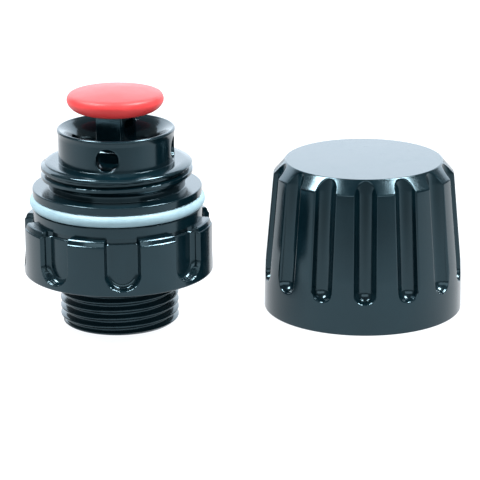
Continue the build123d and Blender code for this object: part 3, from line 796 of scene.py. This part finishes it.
def make_cap():
    """Fluted cap, hollow, with a skirt bore and an inner thread."""
    points = outline(
        [
            (0, CAP_H),
            (16.0, CAP_H),
            (22.2, CAP_H, 0.45),
            (22.5, CAP_H - 0.36, 0.0, 14),
            (25.45, SHOULDER_Z + 0.12, 0.0, 1),
            (SHOULDER_R, SHOULDER_Z - 0.15, 0.0, 6),
            (SHOULDER_R + 0.09, SHOULDER_Z - 1.0, 0.0, 14),
            (WAIST_R, WAIST_Z + 0.6, 0.0, 38),
            (28.08, 8.0, 0.0, 4),
            (CAP_RIM_R, 0.6, 0.0),
            (CAP_RIM_R, 0, 0.45),
            (SKIRT_BORE_R, 0, 0.5),
            (SKIRT_BORE_R, 9.0, 0.2),
            (NUT_R, 10.4, 0.1, 20),
            (NUT_R, NUT_TOP_Z, 0.0),
            (19.35, NUT_TOP_Z),
            (19.35, 17.82),
            (CAP_BORE_R, 17.82, 0.2),
            (CAP_BORE_R, CAP_ROOF_Z, 0.8),
            (0, CAP_ROOF_Z),
        ]
    )

    # columns lie close together along the flute's edges
    edge_x = 3.6
    half_period = math.pi * CAP_MEAN_R / FLUTE_COUNT
    floor_xs = FLUTE_R * np.sin(np.radians(np.linspace(0, 75, 11)))
    edge_xs = np.arange(3.05, edge_x, 0.09)
    wall_xs = np.linspace(3.85, half_period, 5)
    xs = mirrored(np.concatenate([floor_xs, edge_xs, wall_xs]))
    first_turn = FRONT + FLUTE_TURN
    turns = period_turns(FLUTE_COUNT, xs, edge_x, np.maximum(points[:, 0], CAP_WALL_R), first_turn)
    grid_r, grid_z = grids(points, turns)
    side = sideways(turns, FLUTE_COUNT, first_turn, np.maximum(grid_r, CAP_WALL_R))
    above_rim = np.arange(len(points)) < np.argmin(points[:, 1])  # the rows of the outside
    on_wall = above_rim[:, None] & (grid_r > CAP_WALL_R + 0.25) & (grid_z > FLUTE_LOWEST_Z)
    grid_r = np.where(on_wall, soft_min(grid_r, flute_cut(side, grid_z), FLUTE_SOFTNESS), grid_r)

    # inner thread, cut into the nut bore and run out at its top
    depth = groove_depth(turns, grid_z, CAP_PITCH, groove_z=9.6, crest_w=2.05, root_w=1.3, depth=1.15)
    depth = depth * (1 - fade(grid_z, 15.3, 16.1))
    in_nut = (np.abs(grid_r - NUT_R) < 0.01) & (grid_z > 10.2) & (grid_z < NUT_TOP_Z)
    grid_r = np.where(in_nut, grid_r + depth, grid_r)
    obj = skin("screw_cap", grid_r, grid_z, turns, centre=CAP_CENTRE[:2])
    place(obj, "cap", "cap", "black_plastic")


make_inlet()
make_collar()
make_bonnet()
make_guide()
make_button()
make_stem()
make_seal()
make_cap()

# the inner pieces keep their CAD shape and get the finish of their slot
SLOT_OF = {part["node"]: part["material_slot"] for part in frame["record"]["subparts"]}
for node_name, node_obj in frame["nodes"].items():
    node_obj.data.materials.clear()
    node_obj.data.materials.append(MATERIALS[SLOT_OF[node_name]])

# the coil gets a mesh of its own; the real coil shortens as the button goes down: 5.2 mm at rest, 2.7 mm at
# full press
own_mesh(frame["nodes"]["button_spring"])

# ---------------------------------------------------------------- camera, floor and light

CAMERA_AT = (0.03410, -0.61658, 0.21404)
ELEVATION = math.radians(17.25)
ROLL = math.radians(-0.40)
LENS = 172.5  # focal length and sensor width in millimetres, as the camera takes them
SENSOR_W = 36.0

FLOOR_HALF = 3.0
GLOW_FRONT_Y, GLOW_BACK_Y = -0.30, -0.10  # the floor's glow rises between these
GLOW_FRONT, GLOW_BACK = 0.1, 1.0
WORLD_LIT, WORLD_SEEN = 0.28, 1.1  # strength for lighting and reflections, and for the camera


def make_camera():
    """Long lens, looking down at the pair from the front."""
    data = bpy.data.cameras.new("camera")
    data.lens = LENS
    data.sensor_width = SENSOR_W
    data.clip_start = 0.01
    cam = link_new("camera", data)
    right0 = Vector((1, 0, 0))
    up0 = Vector((0, math.sin(ELEVATION), math.cos(ELEVATION)))
    ahead = Vector((0, math.cos(ELEVATION), -math.sin(ELEVATION)))
    right = math.cos(ROLL) * right0 + math.sin(ROLL) * up0
    up = -math.sin(ROLL) * right0 + math.cos(ROLL) * up0
    turn = Matrix((right, up, -ahead)).transposed().to_4x4()
    cam.matrix_world = Matrix.Translation(CAMERA_AT) @ turn
    bpy.context.scene.camera = cam


def make_floor():
    """Plain pale studio floor that glows like a light table, so that shadows stay faint.

    The camera sees it evenly white from any side. For reflections and lighting its glow fades towards the
    front, so that upright dark walls stay dark.
    """
    h = FLOOR_HALF
    verts = [(-h, -h, 0), (h, -h, 0), (h, h, 0), (-h, h, 0)]
    mesh = bpy.data.meshes.new("floor")
    mesh.from_pydata(verts, [], [(0, 1, 2, 3)])
    floor = link_new("floor", mesh)
    mat, nodes, links, shader = new_material("floor", (0.06, 0.06, 0.06), 0.6)
    shader.inputs["Emission Color"].default_value = (0.95, 0.97, 1.0, 1)
    coords = nodes.new("ShaderNodeTexCoord")
    axes = nodes.new("ShaderNodeSeparateXYZ")
    links.new(coords.outputs["Object"], axes.inputs["Vector"])
    fading = ranged(nodes, links, axes.outputs["Y"], GLOW_FRONT, GLOW_BACK, GLOW_FRONT_Y, GLOW_BACK_Y)
    glow = nodes.new("ShaderNodeMath")
    glow.operation = "MAXIMUM"
    links.new(fading, glow.inputs[0])
    links.new(nodes.new("ShaderNodeLightPath").outputs["Is Camera Ray"], glow.inputs[1])
    links.new(glow.outputs[0], shader.inputs["Emission Strength"])
    mesh.materials.append(mat)


def softbox(name, at, target, width, height, power, color=(1, 1, 1)):
    """Area light that faces its target."""
    data = bpy.data.lights.new(name, "AREA")
    data.shape = "RECTANGLE"
    data.size = width
    data.size_y = height
    data.energy = power
    data.color = color
    light = link_new(name, data)
    aim = (Vector(target) - Vector(at)).to_track_quat("-Z", "Y").to_matrix().to_4x4()
    light.matrix_world = Matrix.Translation(at) @ aim


def make_world():
    """Even pale surroundings, white to the camera and dimmer for lighting and reflections."""
    world = bpy.data.worlds.new("studio")
    bpy.context.scene.world = world
    world.use_nodes = True
    nodes, links = world.node_tree.nodes, world.node_tree.links
    back = nodes["Background"]
    back.inputs["Color"].default_value = (0.93, 0.97, 1.0, 1)
    seen = nodes.new("ShaderNodeLightPath").outputs["Is Camera Ray"]
    links.new(ranged(nodes, links, seen, WORLD_LIT, WORLD_SEEN, 0, 1), back.inputs["Strength"])


make_camera()
make_floor()
make_world()
cool = (0.80, 0.90, 1.0)
softbox("back_box", (0.03, 1.15, 0.46), (0.03, 0, 0.05), width=2.4, height=0.85, power=17, color=cool)
softbox("front_box", (0.03, -1.3, 0.62), (0.03, 0, 0.04), width=2.2, height=0.6, power=9)
softbox("left_box", (-0.47, -0.07, 0.84), (0.02, 0, 0.04), width=0.34, height=0.34, power=17)
softbox("right_box", (0.53, -0.07, 0.84), (0.05, 0, 0.04), width=0.34, height=0.34, power=20)
bpy.context.scene.view_settings.view_transform = "Standard"
